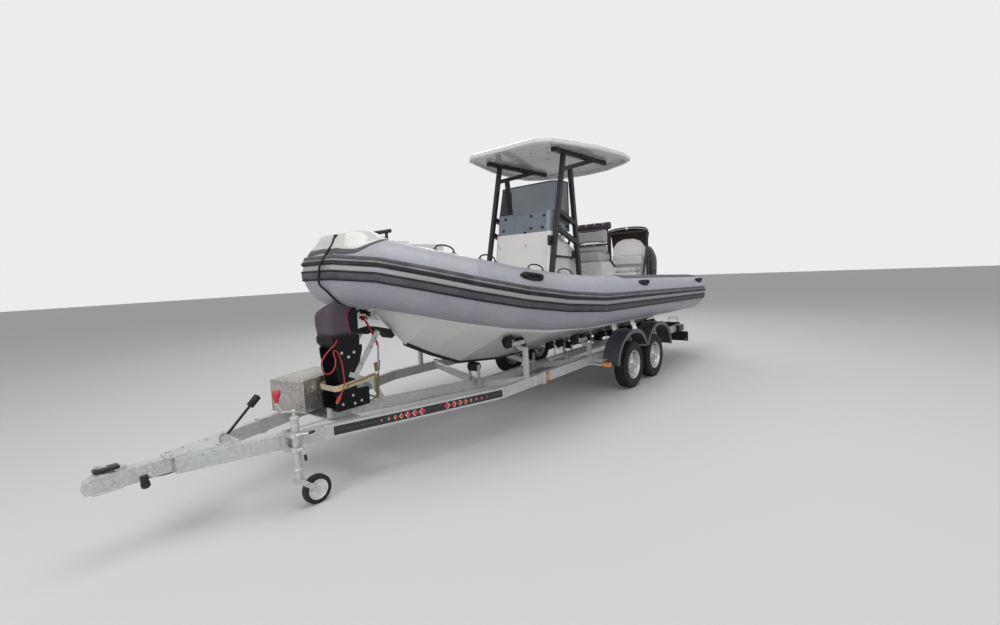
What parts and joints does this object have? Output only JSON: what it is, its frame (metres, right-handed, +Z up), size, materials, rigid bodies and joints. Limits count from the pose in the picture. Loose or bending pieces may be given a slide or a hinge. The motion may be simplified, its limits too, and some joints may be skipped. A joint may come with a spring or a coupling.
{
  "type": "rigid inflatable boat on trailer",
  "caption": "Rigid inflatable boat with grey-blue tubes, white deep-V hull, console, T-top and outboard, parked on a galvanised tandem roller trailer with a jockey wheel.",
  "frame": {"origin": "on the ground under the middle of the whole length, from the coupling nose to the back of the engine", "axes": "+X forward to the bow and coupling, +Y to port, +Z up"},
  "size_m": [8.385, 2.5346, 3.05],
  "materials": {
    "gelcoat_white": "gloss",
    "tube_fabric": "satin",
    "strake_black": "satin",
    "pad_grey": "matt",
    "black_rubber": "matt",
    "black_plastic": "matt",
    "grey_plastic": "matt",
    "screen_band": "satin",
    "tinted_screen": "clear",
    "frame_paint": "satin",
    "cushion_grey": "satin",
    "cover_fabric": "matt",
    "galvanised": "matt",
    "black_steel": "satin",
    "engine_paint": "gloss",
    "tyre_rubber": "matt",
    "rim_silver": "satin",
    "checker_plate": "bright",
    "red_plastic": "gloss",
    "lamp_lens": "gloss"
  },
  "bodies": {
    "boat_on_trailer": {"hull": "gelcoat_white", "keel_guard": "black_rubber", "tube_bow": "tube_fabric", "tube_port": "tube_fabric", "tube_starboard": "tube_fabric", "rub_strakes": "strake_black", "step_pads": "pad_grey", "bow_locker": "gelcoat_white", "bow_cleat": "black_plastic", "tube_handles": "black_rubber", "console": "gelcoat_white", "windscreen_band": "screen_band", "windscreen": "tinted_screen", "ttop_frame": "frame_paint", "ttop_roof": "gelcoat_white", "helm_seat_base": "gelcoat_white", "helm_seat_frame": "cover_fabric", "helm_cushions": "cushion_grey", "aft_seat": "gelcoat_white", "aft_cushions": "cushion_grey", "stern_arch": "frame_paint", "engine_clamp": "engine_paint", "side_beam_port": "galvanised", "side_beam_starboard": "galvanised", "keel_beam": "galvanised", "coupling": "galvanised", "axle_arms": "galvanised", "fenders": "grey_plastic", "roller_frames": "galvanised", "rollers": "black_rubber", "winch_post": "black_steel", "winch_cover": "cover_fabric", "winch_struts": "galvanised", "bow_snubber": "black_rubber", "jockey_clamp": "galvanised", "toolbox": "checker_plate", "frame_brackets": "galvanised", "rear_light_boards": "black_plastic", "lamps": "lamp_lens", "winch_lead": "red_plastic", "lead_plug": "red_plastic"},
    "wheel_front_port": {"tyre_front_port": "tyre_rubber", "rim_front_port": "rim_silver"},
    "wheel_front_starboard": {"tyre_front_starboard": "tyre_rubber", "rim_front_starboard": "rim_silver"},
    "wheel_rear_port": {"tyre_rear_port": "tyre_rubber", "rim_rear_port": "rim_silver"},
    "wheel_rear_starboard": {"tyre_rear_starboard": "tyre_rubber", "rim_rear_starboard": "rim_silver"},
    "box_lid": {"toolbox_lid": "checker_plate"},
    "jockey_stand": {"jockey_tube": "galvanised"},
    "jockey_castor": {"jockey_fork": "galvanised"},
    "jockey_roller": {"jockey_wheel": "black_rubber"},
    "engine_mount": {"engine_swivel": "engine_paint"},
    "engine": {"engine_leg": "engine_paint", "engine_cowl": "engine_paint"},
    "screw": {"propeller": "engine_paint"},
    "helm_wheel": {"steering_wheel": "black_plastic"},
    "parking_lever": {"brake_lever": "black_steel"}
  },
  "joints": [
    {"name": "wheel_front_port_spin", "type": "hinge", "parent": "boat_on_trailer", "child": "wheel_front_port", "pos_m": [-0.9505, 0.974, 0.298], "axis": [0, 1, 0], "continuous": true},
    {"name": "wheel_front_starboard_spin", "type": "hinge", "parent": "boat_on_trailer", "child": "wheel_front_starboard", "pos_m": [-0.9505, -0.974, 0.298], "axis": [0, 1, 0], "continuous": true},
    {"name": "wheel_rear_port_spin", "type": "hinge", "parent": "boat_on_trailer", "child": "wheel_rear_port", "pos_m": [-1.6745, 0.974, 0.298], "axis": [0, 1, 0], "continuous": true},
    {"name": "wheel_rear_starboard_spin", "type": "hinge", "parent": "boat_on_trailer", "child": "wheel_rear_starboard", "pos_m": [-1.6745, -0.974, 0.298], "axis": [0, 1, 0], "continuous": true},
    {"name": "box_lid_hinge", "type": "hinge", "parent": "boat_on_trailer", "child": "box_lid", "pos_m": [2.7068, -0.49137, 0.737], "axis": [-0.9509, -0.3094, 0], "range_deg": [-100, 0]},
    {"name": "jockey_height", "type": "slide", "parent": "boat_on_trailer", "child": "jockey_stand", "axis": [0, 0, 1], "range_m": [0, 0.19]},
    {"name": "jockey_swivel", "type": "hinge", "parent": "jockey_stand", "child": "jockey_castor", "pos_m": [3.1625, 0.395, 0.23], "axis": [0, 0, 1], "continuous": true},
    {"name": "jockey_wheel_spin", "type": "hinge", "parent": "jockey_castor", "child": "jockey_roller", "pos_m": [3.0445, 0.395, 0.1015], "axis": [0, 1, 0], "continuous": true},
    {"name": "engine_tilt", "type": "hinge", "parent": "boat_on_trailer", "child": "engine_mount", "pos_m": [-3.5625, 0, 1.15], "axis": [0, 1, 0], "range_deg": [-4, 16]},
    {"name": "engine_steer", "type": "hinge", "parent": "engine_mount", "child": "engine", "pos_m": [-3.6875, 0, 1], "axis": [0, 0, 1], "range_deg": [-30, 30]},
    {"name": "propeller_spin", "type": "hinge", "parent": "engine", "child": "screw", "pos_m": [-3.9725, 0, 0.3], "axis": [1, 0, 0], "continuous": true},
    {"name": "helm_wheel_turn", "type": "hinge", "parent": "boat_on_trailer", "child": "helm_wheel", "pos_m": [-0.7225, 0.11, 1.96], "axis": [-0.8829, 0, 0.4695], "range_deg": [-540, 540]},
    {"name": "brake_lever_pull", "type": "hinge", "parent": "boat_on_trailer", "child": "parking_lever", "pos_m": [3.4725, 0.055, 0.54], "axis": [0, 1, 0], "range_deg": [-38, 0]}
  ]
}
